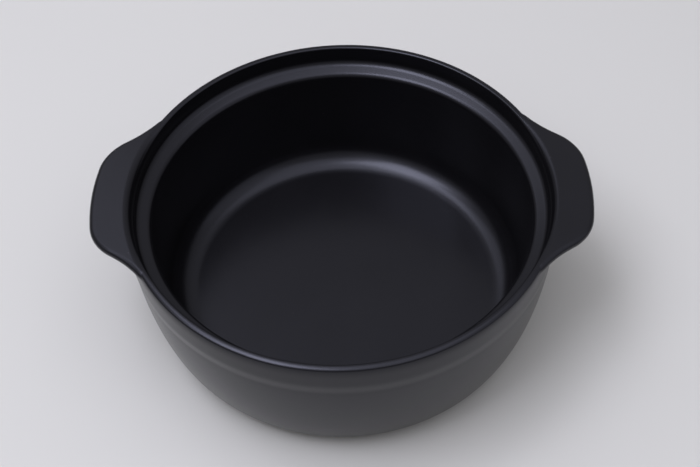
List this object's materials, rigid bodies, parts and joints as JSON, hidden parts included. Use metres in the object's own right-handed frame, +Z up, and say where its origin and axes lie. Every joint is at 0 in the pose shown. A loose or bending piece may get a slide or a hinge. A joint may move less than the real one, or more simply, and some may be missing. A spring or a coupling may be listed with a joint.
{
  "type": "ceramic cooking pot",
  "caption": "Round black-glazed stoneware cooking pot without its lid, with a lid ledge inside the lip and a lug handle on each side.",
  "frame": {"origin": "centre of the footprint, on the surface that the pot stands on", "axes": "+X through the two handles, +Y away from the viewer of the picture, +Z up along the pot's axis"},
  "size_m": [0.2454, 0.2124, 0.082],
  "materials": {
    "black_glaze": "satin",
    "bare_clay": "matte"
  },
  "bodies": {
    "root": {"pot_body": "black_glaze", "handle_left": "black_glaze", "handle_right": "black_glaze", "foot_ring": "bare_clay"}
  },
  "joints": []
}
